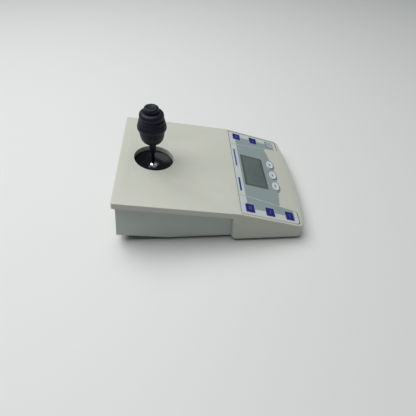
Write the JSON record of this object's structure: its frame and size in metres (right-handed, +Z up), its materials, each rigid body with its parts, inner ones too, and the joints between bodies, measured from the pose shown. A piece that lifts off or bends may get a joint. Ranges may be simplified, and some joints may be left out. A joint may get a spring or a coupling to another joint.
{
  "type": "joystick control console",
  "caption": "Wedge-shaped desktop control console with a tilting joystick in a round dished well, and a sloping keypad panel with a display, square side keys and oval keys.",
  "frame": {"origin": "on the table under the middle of the bounding box", "axes": "+Z up, -Y towards the person using it, +X to the right of that person"},
  "size_m": [0.2, 0.2702, 0.1568],
  "materials": {
    "cover": "fine textured beige-grey moulding",
    "housing": "fine textured beige-grey moulding",
    "rubber": "matt black",
    "steel": "plain zinc plated",
    "overlay": "printed polyester film",
    "glass": "clear hard-coated window",
    "module": "dark grey-green liquid crystal",
    "board": "green solder mask",
    "blue_key": "dark blue, softly embossed",
    "white_key": "off-white",
    "gloss_black": "polished black",
    "white_plastic": "natural acetal",
    "dark_plastic": "black nylon",
    "chrome": "polished",
    "rod": "black oxide",
    "grip": "satin black",
    "sensor": "blue moulded case",
    "ribbon": "grey ribbon insulation",
    "socket": "black moulding"
  },
  "bodies": {
    "root": {"top_cover": "cover", "base_housing": "housing", "front_left_foot": "rubber", "front_right_foot": "rubber", "rear_left_foot": "rubber", "rear_right_foot": "rubber", "front_left_cover_screw": "steel", "front_right_cover_screw": "steel", "rear_left_cover_screw": "steel", "rear_right_cover_screw": "steel", "left_overlay": "overlay", "centre_overlay": "overlay", "right_overlay": "overlay", "display_window": "glass", "display_module": "module", "keypad_board": "board", "joystick_dish": "gloss_black", "ball_socket": "white_plastic", "gimbal_frame": "white_plastic", "joystick_screw_1": "steel", "joystick_screw_2": "steel", "joystick_screw_3": "steel", "joystick_screw_4": "steel", "fore_aft_sensor": "sensor", "side_sensor": "sensor", "main_board": "board", "board_screw_1": "steel", "board_screw_2": "steel", "board_screw_3": "steel", "board_screw_4": "steel", "ribbon_cable": "ribbon", "motor_socket": "socket", "serial_socket": "socket", "power_inlet": "socket", "power_switch": "socket"},
    "fore_aft": {"fore_aft_bail": "dark_plastic"},
    "stick": {"pivot_ball": "chrome", "joystick_rod": "rod", "stem_sleeve": "grip", "grip_base": "grip", "grip_head": "grip", "button_spring": "steel"},
    "dial": {"grip_dial": "grip"},
    "button": {"top_button": "grip"},
    "side_link": {"side_bail": "dark_plastic"},
    "rocker": {"power_rocker": "rubber"},
    "left_key_1": {"left_key_1": "blue_key"},
    "left_key_2": {"left_key_2": "blue_key"},
    "left_key_3": {"left_key_3": "blue_key"},
    "right_key_1": {"right_key_1": "blue_key"},
    "right_key_2": {"right_key_2": "blue_key"},
    "right_key_3": {"right_key_3": "white_key"},
    "oval_key_1": {"oval_key_1": "white_key"},
    "oval_key_2": {"oval_key_2": "white_key"},
    "oval_key_3": {"oval_key_3": "white_key"}
  },
  "joints": [
    {"name": "stick_fore_aft", "type": "hinge", "parent": "root", "child": "fore_aft", "pos_m": [0, 0.08337, 0.05935], "axis": [1, 0, 0], "range_deg": [-14.6, 25.3]},
    {"name": "stick_side", "type": "hinge", "parent": "fore_aft", "child": "stick", "pos_m": [0, 0.08337, 0.05935], "axis": [0, 0.9969, 0.0785], "range_deg": [-20, 20]},
    {"name": "side_bail_turn", "type": "hinge", "parent": "root", "child": "side_link", "pos_m": [0, 0.08337, 0.05935], "axis": [0, 0.9853, 0.1709], "range_deg": [-20, 20]},
    {"name": "dial_turn", "type": "hinge", "parent": "stick", "child": "dial", "pos_m": [0, 0.08337, 0.05935], "axis": [0, -0.0785, 0.9969], "continuous": true},
    {"name": "button_press", "type": "slide", "parent": "stick", "child": "button", "axis": [0, 0.0785, -0.9969], "range_m": [0, 0.0012], "stiffness_N_per_m": 900, "deforming": ["button_spring"]},
    {"name": "rocker_tip", "type": "hinge", "parent": "root", "child": "rocker", "pos_m": [0.0682, 0.12982, 0.03988], "axis": [1, 0, 0], "range_deg": [-12, 0]},
    {"name": "left_key_1_press", "type": "slide", "parent": "root", "child": "left_key_1", "axis": [0, 0.3183, -0.948], "range_m": [0, 0.0005], "stiffness_N_per_m": 600},
    {"name": "left_key_2_press", "type": "slide", "parent": "root", "child": "left_key_2", "axis": [0, 0.3183, -0.948], "range_m": [0, 0.0005], "stiffness_N_per_m": 600},
    {"name": "left_key_3_press", "type": "slide", "parent": "root", "child": "left_key_3", "axis": [0, 0.3183, -0.948], "range_m": [0, 0.0005], "stiffness_N_per_m": 600},
    {"name": "right_key_1_press", "type": "slide", "parent": "root", "child": "right_key_1", "axis": [0, 0.3183, -0.948], "range_m": [0, 0.0005], "stiffness_N_per_m": 600},
    {"name": "right_key_2_press", "type": "slide", "parent": "root", "child": "right_key_2", "axis": [0, 0.3183, -0.948], "range_m": [0, 0.0005], "stiffness_N_per_m": 600},
    {"name": "right_key_3_press", "type": "slide", "parent": "root", "child": "right_key_3", "axis": [0, 0.3183, -0.948], "range_m": [0, 0.0005], "stiffness_N_per_m": 600},
    {"name": "oval_key_1_press", "type": "slide", "parent": "root", "child": "oval_key_1", "axis": [0, 0.3183, -0.948], "range_m": [0, 0.0006], "stiffness_N_per_m": 600},
    {"name": "oval_key_2_press", "type": "slide", "parent": "root", "child": "oval_key_2", "axis": [0, 0.3183, -0.948], "range_m": [0, 0.0006], "stiffness_N_per_m": 600},
    {"name": "oval_key_3_press", "type": "slide", "parent": "root", "child": "oval_key_3", "axis": [0, 0.3183, -0.948], "range_m": [0, 0.0006], "stiffness_N_per_m": 600}
  ],
  "couplings": [
    {"joint": "side_bail_turn", "follows": "stick_side", "ratio": 1}
  ]
}
